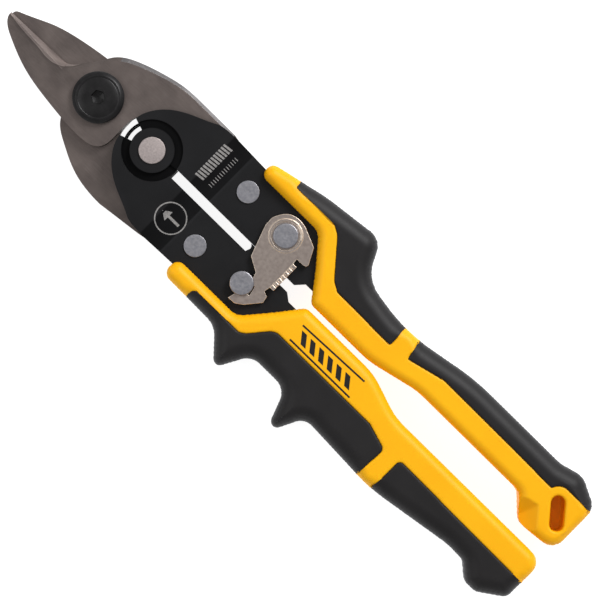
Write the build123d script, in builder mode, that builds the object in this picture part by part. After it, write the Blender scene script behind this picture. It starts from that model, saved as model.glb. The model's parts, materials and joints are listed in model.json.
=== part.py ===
"""Compound-action aviation snips with a short, deep jaw, latched shut.

Millimetres. +X runs from the jaw to the handle ends, +Y towards the upper handle, +Z up, away
from the table that the tool lies on. Plan positions are measured from the main bolt's axis, and
heights from the plane where the two blades slide on each other. The frame's origin is on the
table, under the middle of the tool's box.
"""
import os
from math import asin, cos, degrees, radians, sin

from build123d import *

# --- linkage: main bolt at (0, 0), the other pivots in plan ---------------------------------
hinge_x = 24.6            # main bolt to the handles' hinge
tang_x = 56.3             # main bolt to the tang rivets, along the tool
tang_y = 12.3             # tang rivets, each side of the middle line
latch_x, latch_y = 75.1, 10.7
stud_x, stud_y = 75.65, -10.3

# --- overall ---------------------------------------------------------------------------------
jaw_reach = 40.0          # main bolt to the jaw's tip
handle_reach = 208.8      # main bolt to the handles' ends
thumb_bulge = 31.0        # middle line to the top of the thumb rest
finger_hook = 36.8        # middle line to the tip of the second finger rest
grip_depth = 17.6         # thickness of the hard grip cores
pad_proud = 0.3           # soft pads stand this far out of the cores, each side
pad_depth = grip_depth + 2 * pad_proud

# --- blades ----------------------------------------------------------------------------------
blade_top = 4.1           # outer face of each blade over the sliding plane
blade_gap = 0.05          # each blade to the sliding plane
tang_depth = 4.6          # thickness of the tangs, centred on the sliding plane
tang_end = 7.2            # radius round each tang rivet
tang_lean = 13.0          # the tangs' outer sides lean in by this angle
relief_play = 1.3         # the blades stay this far off the webs round the handles' hinge
lobe_reach = 6.5          # each blade's lobe passes the middle line by this much
back_edge = 22.5          # middle line to the blades' back edges
bevel = 1.0               # ground bevel along the back edges
jaw_overlap = 0.6         # cutting edges pass the middle line by this much, shut
facet_wide, facet_deep = 2.6, 3.2    # ground facet behind the cutting edge
throat_x = -16.5          # where the cutting edges end
step_start, step_end = 33.5, 40.2    # where the tangs are forged over to the middle

# --- arm plates ------------------------------------------------------------------------------
plate = 2.2               # thickness of the arm plates
side_play = 0.1           # between plates and what slides beside them
joggle_x, joggle_run = 45.1, 8.4      # where the plates slope down towards the tangs
arm_edge = 22.0           # middle line to the arms' outer edges
slot_edges = {1: 1.2, -1: 2.0}       # middle line to the inner edge of the upper and lower arm
slot_open, slot_shut = 10.4, 69.4    # the slot between the arms: from the hinge, and its end
closing_gap = 0.1         # between the arms where they meet, shut
stop_width = 4.6          # of the lower arm's closing stop, along the tool
tail_end = 118.0          # where the plates end, inside the grips
tail_low, tail_high = 5.5, 13.0      # sides of the plates' tails
hex_gap_start = 88.2      # start of the six-sided gap between the arms
hex_gap_y, hex_gap_run = 4.0, 2.6    # half its width, and its slanted sides along the tool

# --- hinge of the two handles ---------------------------------------------------------------
recess_r = 10.1           # ring-shaped recess round the hinge
disc_r = 7.4              # upper arm's disc, inside the recess
ear = 1.6                 # thickness of the ears that overlap at the hinge
ear_gap = 0.1
web = 0.8                 # thickness of the upper arm's web in the recess
stop_angle = 37.5         # free angle between the two arms' stop faces
web_root = 0.6            # the webs run this far under the plates
collar_r, collar_wide = 10.0, 0.6    # lower arm's collar under the upper arm's web
collar_turn = 15.0        # its full width carries on past the slot by this angle

# --- fasteners -------------------------------------------------------------------------------
running = 0.05            # radial clearance of every turning fit
bolt_r, bolt_head_r, bolt_head = 4.5, 8.5, 2.9
bolt_bevel = 1.3
socket_af, socket_deep = 4.0, 2.2
nut_af, nut_deep = 13.0, 3.4
washer_r, washer_deep = 8.0, 1.0
hinge_pin_r, hinge_head_r = 3.0, 4.4
tang_pin_r, tang_head_r = 2.6, 3.75
rivet_head = 0.6
open_pivot_play = 0.42    # extra radius of the front blade's tang hole
bush_r = 4.6

# --- spring ----------------------------------------------------------------------------------
wire = 1.4
coil_r = 5.6              # hinge axis to the middle of the wire
coil_height = 4.6
spring_leg, leg_angle = 15.0, 62.0   # each leg's reach and its angle from the middle line
leg_height = 1.5          # each leg's height, clear of the other handle's blade

# --- latch -----------------------------------------------------------------------------------
latch_lift = 0.5          # washer under the latch
latch_plate_deep = 1.6
latch_pin_r, latch_head_r, latch_head = 2.4, 4.2, 1.1
latch_washer_r = 4.6
rim_r, rim_wide, rim_high = 4.7, 0.9, 0.35      # coined rim round the latch's hole
stud_pin_r, stud_head_r, stud_head = 1.35, 4.0, 1.1
hook_play = 0.35          # hook to the stud's pin
hook_turn = 11.5          # the latch can turn this far on to the stud, in degrees
tab_x, tab_thick, tab_height = 83.2, 1.6, 4.2   # inner face of the bent tab, and its sizes
tab_low, tab_high = -4.9, 5.9
tab_teeth, tooth_deep = 7, 0.5

# --- grips -----------------------------------------------------------------------------------
tongue_inset, tongue_depth = 2.0, 11.8   # the cores' tongues inside the pads
edge_round = 1.6          # round on the grips' long edges
spacer_start = 66.0       # packing between the plates starts here
cord_recess_r, cord_recess_length, cord_recess_deep = 2.4, 11.8, 11.0
cord_recess_x, cord_recess_y, cord_recess_turn = 201.2, 8.3, -50.0

# --- worked out from the values above ---------------------------------------------------------
fork_top = blade_top + side_play + plate        # outer face of the plates over the blades
tail_top = tang_depth / 2 + side_play + plate   # outer face of the plates over the tangs
ear_top = fork_top - ear - ear_gap              # outer face of the lower arm's ears
hinge_relief = recess_r + web_root + relief_play
slot_angles = {side: degrees(asin(edge / recess_r)) for side, edge in slot_edges.items()}
stop_at = 180 - stop_angle / 2
latch_floor = tail_top + latch_lift + running
latch_roof = latch_floor + latch_plate_deep
bolt_at_x = (jaw_reach - handle_reach) / 2
bolt_at_y = (finger_hook - thumb_bulge) / 2
slide_at_z = pad_depth / 2


def level(height):
    """Horizontal plane at a height over the sliding plane, with its origin on the main bolt."""
    return Plane(origin=(bolt_at_x, bolt_at_y, slide_at_z + height))


def side_plane():
    """Upright plane along the middle line: its Y is the tool's height."""
    return Plane(origin=(bolt_at_x, bolt_at_y, slide_at_z), x_dir=(1, 0, 0), z_dir=(0, -1, 0))


def around(x, y, radius, angle):
    """Point in plan at an angle round a centre, in degrees from +X."""
    return (x + radius * cos(radians(angle)), y + radius * sin(radians(angle)))


def arc_round(x, y, radius, start, end):
    """Arc round a centre between two angles."""
    middle = (start + end) / 2
    ThreePointArc(*[around(x, y, radius, angle) for angle in (start, middle, end)])


def region(x_low, x_high, y_low=-60, y_high=60, mode=Mode.ADD):
    """Rectangle in plan by its sides, as wide as the tool where no sides are given."""
    with Locations(((x_low + x_high) / 2, (y_low + y_high) / 2)):
        Rectangle(x_high - x_low, y_high - y_low, mode=mode)


def drill(x, y, radius, low, high):
    """Cut an upright hole between two heights."""
    with BuildSketch(level(low)) as hole:
        with Locations((x, y)):
            Circle(radius)
    extrude(hole.sketch, amount=high - low, mode=Mode.SUBTRACT)


def disc(x, y, radius, low, high):
    """Add an upright cylinder between two heights."""
    with BuildSketch(level(low)) as base:
        with Locations((x, y)):
            Circle(radius)
    extrude(base.sketch, amount=high - low)


# === blades ==================================================================================

def tang_outline(side, edge_from):
    """The blade's outline from a point on its back edge round the tang to the hinge's lobe."""
    shoulder = 90 - tang_lean
    relief = 55
    lobe = hinge_x - hinge_relief
    shoulder_at = around(tang_x, side * tang_y, tang_end, side * shoulder)
    relief_at = around(hinge_x, 0, hinge_relief, side * relief)
    Polyline(edge_from, (step_end, side * back_edge), shoulder_at)
    arc_round(tang_x, side * tang_y, tang_end, side * shoulder, -side * 90)
    inner = side * (tang_y - tang_end)
    Polyline((tang_x, inner), (40, inner - side * 0.7), relief_at)
    arc_round(hinge_x, 0, hinge_relief, side * relief, side * 180)
    Line((lobe, 0), (lobe, -side * lobe_reach))


def front_blade_plan():
    """Outline of the front blade: jaw below the middle line, tang above it."""
    tip = (-jaw_reach, 0)
    throat = (throat_x, jaw_overlap)
    lobe = (hinge_x - hinge_relief, -lobe_reach)
    shoulder = (24.3, back_edge)
    with BuildLine() as outline:
        Line(tip, throat)
        Spline(throat, (-12.2, 3.4), (-6.6, 11.6), tangents=[(1, 0.1), (0.5, 0.87)])
        Spline((-6.6, 11.6), (1.2, 17.5), (12, 21.0), shoulder, tangents=[(0.5, 0.87), (1, 0)])
        tang_outline(1, shoulder)
        Spline(lobe, (11.0, -11.4), (5.0, -13.4), tangents=[(0, -1), (-1, -0.05)])
        Spline((5.0, -13.4), (-10.0, -12.5), (-24.0, -10.0), (-34.0, -6.1), (-39.4, -2.4),
               tip, tangents=[(-1, -0.05), (0.1, 1)])
    make_face(outline.edges())


def back_blade_plan():
    """Outline of the back blade: jaw above the middle line, tang below it."""
    tip = (-jaw_reach + 0.3, 0)
    throat = (throat_x, -jaw_overlap)
    lobe = (hinge_x - hinge_relief, lobe_reach)
    shoulder = (24.3, -back_edge - 2)
    with BuildLine() as outline:
        Line(tip, throat)
        Spline(throat, (-11.5, -4.2), (-4.6, -13.2), tangents=[(1, -0.1), (0.5, -0.87)])
        Spline((-4.6, -13.2), (2.2, -18.6), (8.2, -21.6), shoulder,
               tangents=[(0.5, -0.87), (1, 0)])
        tang_outline(-1, shoulder)
        Spline(lobe, (11.0, 9.8), (5.0, 11.6), tangents=[(0, 1), (-1, 0.05)])
        Spline((5.0, 11.6), (-6.6, 11.2), (-15.1, 9.9), (-27.2, 6.8), (-37.6, 2.2), tip,
               tangents=[(-1, 0.05), (0.1, -1)])
    make_face(outline.edges())


def grind_jaw(side, toward):
    """Grind the facet behind the cutting edge, and thin the jaw towards its tip."""
    facet_plane = Plane(origin=(bolt_at_x - jaw_reach - 1, bolt_at_y, slide_at_z),
                        x_dir=(0, 1, 0), z_dir=(1, 0, 0))
    edge_y = toward * (jaw_overlap + 0.2)
    with BuildSketch(facet_plane) as facet:
        with BuildLine() as outline:
            Polyline((edge_y, side * (blade_top - facet_deep)),
                     (edge_y - toward * facet_wide, side * (blade_top + 0.01)),
                     (edge_y + toward * 4, side * (blade_top + 0.01)),
                     (edge_y + toward * 4, side * (blade_top - facet_deep)), close=True)
        make_face(outline.edges())
    extrude(facet.sketch, amount=throat_x + 2.5 + jaw_reach, mode=Mode.SUBTRACT)
    with BuildSketch(side_plane()) as taper:
        with BuildLine() as outline:
            Polyline((-jaw_reach - 1, side * (blade_top - 1.6)),
                     (throat_x + 4, side * (blade_top + 0.01)),
                     (-jaw_reach - 1, side * (blade_top + 0.01)), close=True)
        make_face(outline.edges())
    extrude(taper.sketch, amount=40, both=True, mode=Mode.SUBTRACT)


with BuildPart() as front_blade:
    with BuildSketch(level(blade_gap)):
        front_blade_plan()
    extrude(amount=blade_top - blade_gap)
    with BuildSketch(level(-tang_depth / 2)):
        front_blade_plan()
        region(-60, step_start, mode=Mode.SUBTRACT)
    extrude(amount=tang_depth)
    with BuildSketch(level(tang_depth / 2)):
        region(step_end, 90)
    extrude(amount=blade_top, mode=Mode.SUBTRACT)
    back_edges = front_blade.faces().sort_by(Axis.Z)[-1].edges().filter_by(
        lambda edge: edge.center().Y > bolt_at_y + 17 and edge.length > 5)
    chamfer(back_edges.filter_by(lambda edge: edge.center().X < bolt_at_x + step_end - 1), bevel)
    grind_jaw(1, 1)
    drill(0, 0, bolt_r, -1, blade_top + 1)
    drill(tang_x, tang_y, tang_pin_r + running + open_pivot_play, -tang_depth, tang_depth)

front_blade.part.label = "front_blade"

with BuildPart() as back_blade:
    with BuildSketch(level(-blade_top)):
        back_blade_plan()
    extrude(amount=blade_top - blade_gap)
    with BuildSketch(level(-tang_depth / 2)):
        back_blade_plan()
        region(-60, step_start, mode=Mode.SUBTRACT)
    extrude(amount=tang_depth)
    with BuildSketch(level(-tang_depth / 2)):
        region(step_end, 90)
    extrude(amount=-blade_top, mode=Mode.SUBTRACT)
    grind_jaw(-1, -1)
    drill(0, 0, bolt_r + running, -blade_top - 1, 1)
    drill(tang_x, -tang_y, tang_pin_r + running, -tang_depth, tang_depth)

back_blade.part.label = "back_blade"

# === main bolt ===============================================================================

with BuildPart() as pivot_bolt:
    disc(0, 0, bolt_head_r, blade_top, blade_top + bolt_head)
    chamfer(pivot_bolt.edges().sort_by(Axis.Z)[-1], length=bolt_bevel * 0.7, length2=bolt_bevel)
    disc(0, 0, bolt_r, -blade_top - washer_deep - nut_deep, blade_top)
    with BuildSketch(level(blade_top + bolt_head)):
        RegularPolygon(socket_af / 2, 6, major_radius=False)
    extrude(amount=-socket_deep, mode=Mode.SUBTRACT)

pivot_bolt.part.label = "pivot_bolt"

washer_top = -blade_top - running

with BuildPart() as pivot_washer:
    disc(0, 0, washer_r, washer_top - washer_deep, washer_top)
    drill(0, 0, bolt_r, -20, 0)

pivot_washer.part.label = "pivot_washer"

with BuildPart() as pivot_nut:
    with BuildSketch(level(washer_top - washer_deep)):
        RegularPolygon(nut_af / 2, 6, major_radius=False)
    extrude(amount=-nut_deep)
    chamfer(pivot_nut.edges().group_by(Axis.Z)[0], 0.5)
    drill(0, 0, bolt_r, -20, 0)

pivot_nut.part.label = "pivot_nut"

# === arm plates ==============================================================================

def plate_profile():
    """Side view of a front plate: high over the blades, then stepped down over the tangs."""
    before, after = joggle_x - joggle_run / 2, joggle_x + joggle_run / 2
    with BuildLine() as outline:
        Polyline((0, fork_top), (before, fork_top), (after, tail_top),
                 (tail_end + 10, tail_top), (tail_end + 10, tail_top - plate),
                 (after, tail_top - plate), (before, fork_top - plate),
                 (0, fork_top - plate), close=True)
    make_face(outline.edges())


def arm_plan(side):
    """Outline of an arm plate, from its stop face round the recess to its tail in the grip."""
    stop_in = around(hinge_x, 0, recess_r, side * stop_at)
    stop_out = around(hinge_x, 0, recess_r + 1.6, side * stop_at)
    hex_end = hex_gap_start + hex_gap_run
    inner = side * slot_edges[side]
    closing_stop = []
    if side < 0:
        meets = slot_edges[1] - closing_gap
        closing_stop = [(slot_shut + stop_width, inner), (slot_shut + stop_width, meets),
                        (slot_shut - 0.6, meets), (slot_shut + 0.1, 0.4),
                        (slot_shut + 0.3, -0.4), (slot_shut - 0.3, inner)]
    with BuildLine() as outline:
        Line(stop_in, stop_out)
        Spline(stop_out, (15.0, side * 8.2), (22.5, side * 15.6), (32.0, side * 20.0),
               (43.0, side * arm_edge), tangents=[(0.1, side), (1, 0)])
        Polyline((43.0, side * arm_edge), (62, side * (arm_edge - 0.6)),
                 (80, side * (arm_edge - 1.2)), (86, side * (tail_high + 4.5)),
                 (94, side * tail_high),
                 (tail_end, side * tail_high), (tail_end, side * tail_low),
                 (97, side * tail_low), (94.2, side * hex_gap_y), (hex_end, side * hex_gap_y),
                 (hex_gap_start, inner), *closing_stop,
                 around(hinge_x, 0, recess_r, side * slot_angles[side]))
        arc_round(hinge_x, 0, recess_r, side * slot_angles[side], side * stop_at)
    make_face(outline.edges())


def ring_sector(inner, outer, start, end):
    """Part of a ring round the hinge, between two angles."""
    with BuildLine() as outline:
        arc_round(hinge_x, 0, outer, start, end)
        Line(around(hinge_x, 0, outer, end), around(hinge_x, 0, inner, end))
        arc_round(hinge_x, 0, inner, end, start)
        Line(around(hinge_x, 0, inner, start), around(hinge_x, 0, outer, start))
    make_face(outline.edges())


def arm_blank(side):
    """A stamped plate with its step, before its ear and holes."""
    with BuildSketch(level(0)) as plan:
        arm_plan(side)
    extrude(plan.sketch, amount=2 * fork_top)
    with BuildSketch(side_plane()) as profile:
        plate_profile()
    extrude(profile.sketch, amount=40, both=True, mode=Mode.INTERSECT)


def leg_hole_at(side):
    """Where a spring leg hooks into its arm."""
    return around(hinge_x, 0, spring_leg, side * leg_angle)


with BuildPart() as upper_arm_front_plate:
    arm_blank(1)
    web_floor = fork_top - ear
    with BuildSketch(level(web_floor)):
        ring_sector(disc_r - web_root, recess_r + web_root, slot_angles[1], stop_at)
    extrude(amount=web)
    disc(hinge_x, 0, disc_r, web_floor, fork_top)
    drill(hinge_x, 0, hinge_pin_r + running, 0, 20)
    drill(tang_x, tang_y, tang_pin_r, 0, 20)
    drill(latch_x, latch_y, latch_pin_r, 0, 20)

upper_arm_front_plate.part.label = "upper_arm_front_plate"

with BuildPart() as lower_arm_front_plate:
    arm_blank(-1)
    with BuildSketch(level(ear_top - ear)):
        with Locations((hinge_x, 0)):
            Circle(collar_r)
            Circle(collar_r - collar_wide, mode=Mode.SUBTRACT)
        ring_sector(disc_r - web_root, recess_r + web_root, -slot_angles[-1], -stop_at)
        ring_sector(disc_r - web_root, collar_r, collar_turn, -slot_angles[-1] - 1)
        region(hinge_x + disc_r, hinge_x + slot_open, -slot_edges[-1], slot_edges[1] - closing_gap)
    extrude(amount=ear)
    disc(hinge_x, 0, disc_r - ear_gap, ear_top - ear, ear_top)
    drill(hinge_x, 0, hinge_pin_r, 0, 20)
    drill(tang_x, -tang_y, tang_pin_r, 0, 20)
    drill(stud_x, stud_y, stud_pin_r, 0, 20)

lower_arm_front_plate.part.label = "lower_arm_front_plate"

with BuildPart() as upper_arm_back_plate:
    mirror(upper_arm_front_plate.part, about=level(0))
    drill(*leg_hole_at(1), wire / 2 + running, -20, 0)

upper_arm_back_plate.part.label = "upper_arm_back_plate"

with BuildPart() as lower_arm_back_plate:
    mirror(lower_arm_front_plate.part, about=level(0))

lower_arm_back_plate.part.label = "lower_arm_back_plate"


def spacer_plan(side):
    """The part of an arm's outline that lies behind the tangs."""
    arm_plan(side)
    region(-60, spacer_start, mode=Mode.SUBTRACT)


def arm_spacer(side):
    """Packing between the two plates, from behind the tang to the plates' ends."""
    with BuildSketch(level(plate - tail_top)) as plan:
        spacer_plan(side)
    extrude(plan.sketch, amount=2 * (tail_top - plate))


with BuildPart() as upper_arm_spacer:
    arm_spacer(1)
    drill(latch_x, latch_y, latch_pin_r, -20, 20)

upper_arm_spacer.part.label = "upper_arm_spacer"

with BuildPart() as lower_arm_spacer:
    arm_spacer(-1)
    drill(stud_x, stud_y, stud_pin_r, -20, 20)

lower_arm_spacer.part.label = "lower_arm_spacer"

# === rivets ==================================================================================

def rivet(x, y, pin_r, head_r, top, head):
    """Through rivet with a flat, eased head on each outer face."""
    disc(x, y, pin_r, -top, top)
    for low, high in ((top, top + head), (-top - head, -top)):
        disc(x, y, head_r, low, high)


def ease_heads(piece, amount):
    """Ease the outer rims of a rivet's two heads."""
    rims = piece.edges().filter_by(GeomType.CIRCLE).group_by(Axis.Z)
    chamfer(rims[-1] + rims[0], amount)


with BuildPart() as centre_rivet:
    rivet(hinge_x, 0, hinge_pin_r, hinge_head_r, fork_top + running, rivet_head)
    ease_heads(centre_rivet, 0.25)

centre_rivet.part.label = "centre_rivet"

with BuildPart() as upper_tang_rivet:
    rivet(tang_x, tang_y, tang_pin_r, tang_head_r, tail_top, rivet_head)
    ease_heads(upper_tang_rivet, 0.25)

upper_tang_rivet.part.label = "upper_tang_rivet"

with BuildPart() as lower_tang_rivet:
    rivet(tang_x, -tang_y, tang_pin_r, tang_head_r, tail_top, rivet_head)
    ease_heads(lower_tang_rivet, 0.25)

lower_tang_rivet.part.label = "lower_tang_rivet"

with BuildPart() as centre_bush:
    bush_half = ear_top - ear - side_play
    disc(hinge_x, 0, bush_r, -bush_half, bush_half)
    drill(hinge_x, 0, hinge_pin_r, -20, 20)

centre_bush.part.label = "centre_bush"

# === opening spring ==========================================================================

with BuildPart() as opening_spring:
    disc(hinge_x, 0, coil_r + wire / 2, -coil_height / 2, coil_height / 2)
    drill(hinge_x, 0, coil_r - wire / 2, -20, 20)
    for leg_side in (1, -1):
        leg_level = -leg_side * leg_height
        leg_start = around(hinge_x, 0, coil_r, leg_side * leg_angle)
        leg_plane = Plane(level(leg_level).from_local_coords(Vector(*leg_start, 0)),
                          z_dir=around(0, 0, 1, leg_side * leg_angle) + (0,))
        with BuildSketch(leg_plane):
            Circle(wire / 2)
        extrude(amount=spring_leg - coil_r)
    hook_down = plate / 2 + fork_top - plate - leg_height
    disc(*leg_hole_at(1), wire / 2, -leg_height - hook_down, -leg_height)

opening_spring.part.label = "opening_spring"

# === latch ===================================================================================

pin_distance = ((stud_x - latch_x) ** 2 + (stud_y - latch_y) ** 2) ** 0.5
pin_direction = degrees(asin((stud_x - latch_x) / pin_distance)) - 90
hook_in = pin_distance - stud_pin_r - hook_play
hook_out = pin_distance + stud_pin_r + hook_play
wall_angle = pin_direction + hook_turn
mouth_angle = pin_direction + 3.2

with BuildPart() as latch_plate:
    with BuildSketch(level(latch_floor)):
        with BuildLine() as outline:
            neck = around(latch_x, latch_y, hook_in, wall_angle)
            neck_out = around(latch_x, latch_y, hook_in, pin_direction + 6.5)
            Polyline((67.8, 8.8), (71.6, -1.9), (76.4, -4.6), neck_out)
            arc_round(latch_x, latch_y, hook_in, pin_direction + 6.5, wall_angle)
            wall_end = around(latch_x, latch_y, hook_out, wall_angle)
            Line(neck, wall_end)
            arc_round(latch_x, latch_y, hook_out, wall_angle, mouth_angle)
            Polyline(around(latch_x, latch_y, hook_out, mouth_angle), (75.7, -16.8),
                     (78.6, -16.6), (81.0, -14.9), (85.1, -10.0), (84.6, -7.7), (82.8, -7.0),
                     (tab_x, tab_low), (tab_x, tab_high), (83.0, 7.8), (85.7, 7.8), (86.8, 8.1),
                     (87.1, 9.1), (84.3, 14.4), (79.4, 16.5))
            Spline((79.4, 16.5), (74.6, 17.6), (70.2, 15.9), (67.8, 12.0), (67.8, 8.8),
                   tangents=[(-0.9, 0.45), (0, -1)])
        make_face(outline.edges())
    extrude(amount=latch_plate_deep)
    with BuildSketch(level(latch_roof - 0.2)):
        with Locations((latch_x, latch_y)):
            Circle(rim_r + rim_wide)
            Circle(rim_r, mode=Mode.SUBTRACT)
    extrude(amount=rim_high + 0.2)
    drill(latch_x, latch_y, latch_pin_r + running, 0, 20)
    with BuildSketch(level(latch_floor)):
        region(tab_x - 0.4, tab_x + tab_thick, tab_low, tab_high)
    extrude(amount=latch_plate_deep)
    with BuildSketch(level(latch_floor)):
        region(tab_x, tab_x + tab_thick, tab_low, tab_high)
    extrude(amount=tab_height)
    tooth_pitch = (tab_high - tab_low) / tab_teeth
    with BuildSketch(level(latch_floor + tab_height - tooth_deep)):
        with Locations((tab_x + tab_thick / 2, (tab_low + tab_high) / 2)):
            with GridLocations(1, tooth_pitch, 1, tab_teeth - 1):
                Rectangle(2 * tab_thick, tooth_pitch * 0.4)
    extrude(amount=2 * tooth_deep, mode=Mode.SUBTRACT)

latch_plate.part.label = "latch_plate"

with BuildPart() as latch_washer:
    disc(latch_x, latch_y, latch_washer_r, tail_top, tail_top + latch_lift)
    drill(latch_x, latch_y, latch_pin_r, 0, 20)

latch_washer.part.label = "latch_washer"

with BuildPart() as latch_rivet:
    head_floor = latch_roof + running
    disc(latch_x, latch_y, latch_pin_r, -tail_top, head_floor)
    disc(latch_x, latch_y, latch_head_r, head_floor, head_floor + latch_head)
    disc(latch_x, latch_y, latch_head_r, -tail_top - rivet_head, -tail_top)
    ease_heads(latch_rivet, 0.3)

latch_rivet.part.label = "latch_rivet"

with BuildPart() as latch_stud:
    disc(stud_x, stud_y, stud_pin_r, -tail_top, head_floor)
    disc(stud_x, stud_y, stud_head_r, head_floor, head_floor + stud_head)
    disc(stud_x, stud_y, stud_head_r * 0.8, -tail_top - rivet_head, -tail_top)
    ease_heads(latch_stud, 0.3)

latch_stud.part.label = "latch_stud"

# === grips ===================================================================================

def rounded_outline(corners):
    """Closed outline through corners given as x, y and the radius that rounds them."""
    points = [(x, y) for x, y, radius in corners]
    with BuildLine() as outline:
        FilletPolyline(*points, radius=[radius for x, y, radius in corners], close=True)
    make_face(outline.edges())


def upper_grip_plan():
    """Outline of the upper grip with its pads."""
    rounded_outline([
        (55.4, 19.2, 2.5), (55.4, 24.4, 2.5),                               # nose
        (76.0, 29.0, 60), (98.0, thumb_bulge + 0.6, 6), (104.0, 19.2, 12),  # thumb rest
        (125.0, 15.9, 60), (152.0, 20.6, 80),                               # waist
        (191.0, 20.6, 8), (199.0, 22.8, 6), (handle_reach, 17.9, 5),        # end knob
        (handle_reach, -1.2, 5), (194.5, -2.6, 5), (187.3, 4.8, 4),
        (141.0, 4.8, 30), (123.0, 0.6, 30),                                 # inner edge
        (96.5, 0.6, 2.5), (90.2, 9.2, 60), (81.8, 19.2, 5)])


def thumb_pad_region():
    """The area of the upper grip that the thumb pad covers, open on the outside."""
    with BuildLine() as outline:
        Polyline((66.4, 40), (66.4, 24.4), (84.0, 24.4), (87.0, 22.6), (96.6, 11.4),
                 (100.0, 9.4), (124.2, 9.2), (122.0, 40), close=True)
    make_face(outline.edges())


def upper_rear_region():
    """The area that the upper rear pad covers."""
    with BuildLine() as outline:
        Polyline((131.3, 10.0), (145.0, 13.4), (194.2, 13.0))
        Spline((194.2, 13.0), (195.2, 15.0), (198.4, 16.2), tangents=[(0.1, 1), (1, 0)])
        Polyline((198.4, 16.2), (215, 16.0), (215, 40), (126.0, 40), (131.3, 10.0))
    make_face(outline.edges())


def lower_grip_plan():
    """Outline of the lower grip with its pads."""
    rounded_outline([
        (55.1, -19.2, 3), (55.1, -25.9, 3),                                 # nose
        (79.0, -26.3, 8), (88.3, -36.4, 2),                                 # first finger rest
        (94.6, -24.9, 6), (109.9, -24.9, 6),                                # between the rests
        (115.2, -finger_hook - 2.6, 2), (121.2, -27.2, 5),                  # second finger rest
        (152.0, -28.6, 60), (183.0, -23.8, 20),
        (190.3, -24.0, 4), (195.5, -28.6, 4), (200.2, -28.5, 4),            # end knob
        (handle_reach, -22.6, 3), (handle_reach, -6.4, 4.5),
        (142.0, -6.4, 25), (127.0, -1.3, 25),                               # inner edge
        (96.4, -1.3, 2.5), (90.2, -9.4, 60), (81.8, -19.2, 5)])


def finger_pad_region():
    """The area of the lower grip that the finger pad covers."""
    with BuildLine() as outline:
        Polyline((65.9, -45), (65.9, -23.4), (67.0, -22.4), (86.2, -22.3), (88.2, -21.0),
                 (93.4, -14.8), (95.2, -13.8), (137.4, -13.7), (145.6, -16.2),
                 (146.4, -17.4), (146.0, -24.0), (144.5, -45), close=True)
    make_face(outline.edges())


def lower_rear_region():
    """The area that the lower rear pad covers."""
    with BuildLine() as outline:
        Polyline((150.5, -45), (152.5, -24.0), (152.6, -16.2), (153.6, -15.3), (215, -16.0),
                 (215, -45), close=True)
    make_face(outline.edges())


def grip_blank(plan):
    """A whole grip, to be split into core and pads."""
    with BuildSketch(level(-pad_depth / 2)) as whole:
        plan()
    extrude(whole.sketch, amount=pad_depth)


with BuildPart() as upper_blank:
    grip_blank(upper_grip_plan)
    fillet(upper_blank.faces().filter_by(Axis.Z).edges(), edge_round)

with BuildPart() as lower_blank:
    grip_blank(lower_grip_plan)
    fillet(lower_blank.faces().filter_by(Axis.Z).edges(), edge_round)


def grip_pad(blank, plan, pad_region):
    """A soft pad: its share of the grip, less the core's tongue."""
    add(blank.part)
    with BuildSketch(level(-pad_depth)) as share:
        pad_region()
    extrude(share.sketch, amount=2 * pad_depth, mode=Mode.INTERSECT)
    with BuildSketch(level(-tongue_depth / 2)) as tongue:
        plan()
        offset(amount=-tongue_inset)
    extrude(tongue.sketch, amount=tongue_depth, mode=Mode.SUBTRACT)


with BuildPart() as upper_thumb_pad:
    grip_pad(upper_blank, upper_grip_plan, thumb_pad_region)

upper_thumb_pad.part.label = "upper_thumb_pad"

with BuildPart() as upper_rear_pad:
    grip_pad(upper_blank, upper_grip_plan, upper_rear_region)

upper_rear_pad.part.label = "upper_rear_pad"

with BuildPart() as lower_finger_pad:
    grip_pad(lower_blank, lower_grip_plan, finger_pad_region)

lower_finger_pad.part.label = "lower_finger_pad"

with BuildPart() as lower_rear_pad:
    grip_pad(lower_blank, lower_grip_plan, lower_rear_region)

lower_rear_pad.part.label = "lower_rear_pad"


def grip_core(blank, pads, side):
    """A hard core: the grip less its pads, with a pocket for the arm's tail."""
    add(blank.part)
    with BuildSketch(level(-grip_depth / 2)) as slab:
        region(0, handle_reach + 10)
    extrude(slab.sketch, amount=grip_depth, mode=Mode.INTERSECT)
    for pad in pads:
        add(pad.part, mode=Mode.SUBTRACT)
    with BuildSketch(level(-tail_top)) as pocket:
        arm_plan(side)
    extrude(pocket.sketch, amount=2 * tail_top, mode=Mode.SUBTRACT)


with BuildPart() as upper_grip:
    grip_core(upper_blank, (upper_thumb_pad, upper_rear_pad), 1)
    with BuildSketch(level(grip_depth / 2)):
        with Locations(Location((cord_recess_x, cord_recess_y, 0), (0, 0, cord_recess_turn))):
            SlotOverall(cord_recess_length, 2 * cord_recess_r)
    extrude(amount=-cord_recess_deep, mode=Mode.SUBTRACT)

upper_grip.part.label = "upper_grip"

with BuildPart() as lower_grip:
    grip_core(lower_blank, (lower_finger_pad, lower_rear_pad), -1)

lower_grip.part.label = "lower_grip"

# === files ===================================================================================

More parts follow.
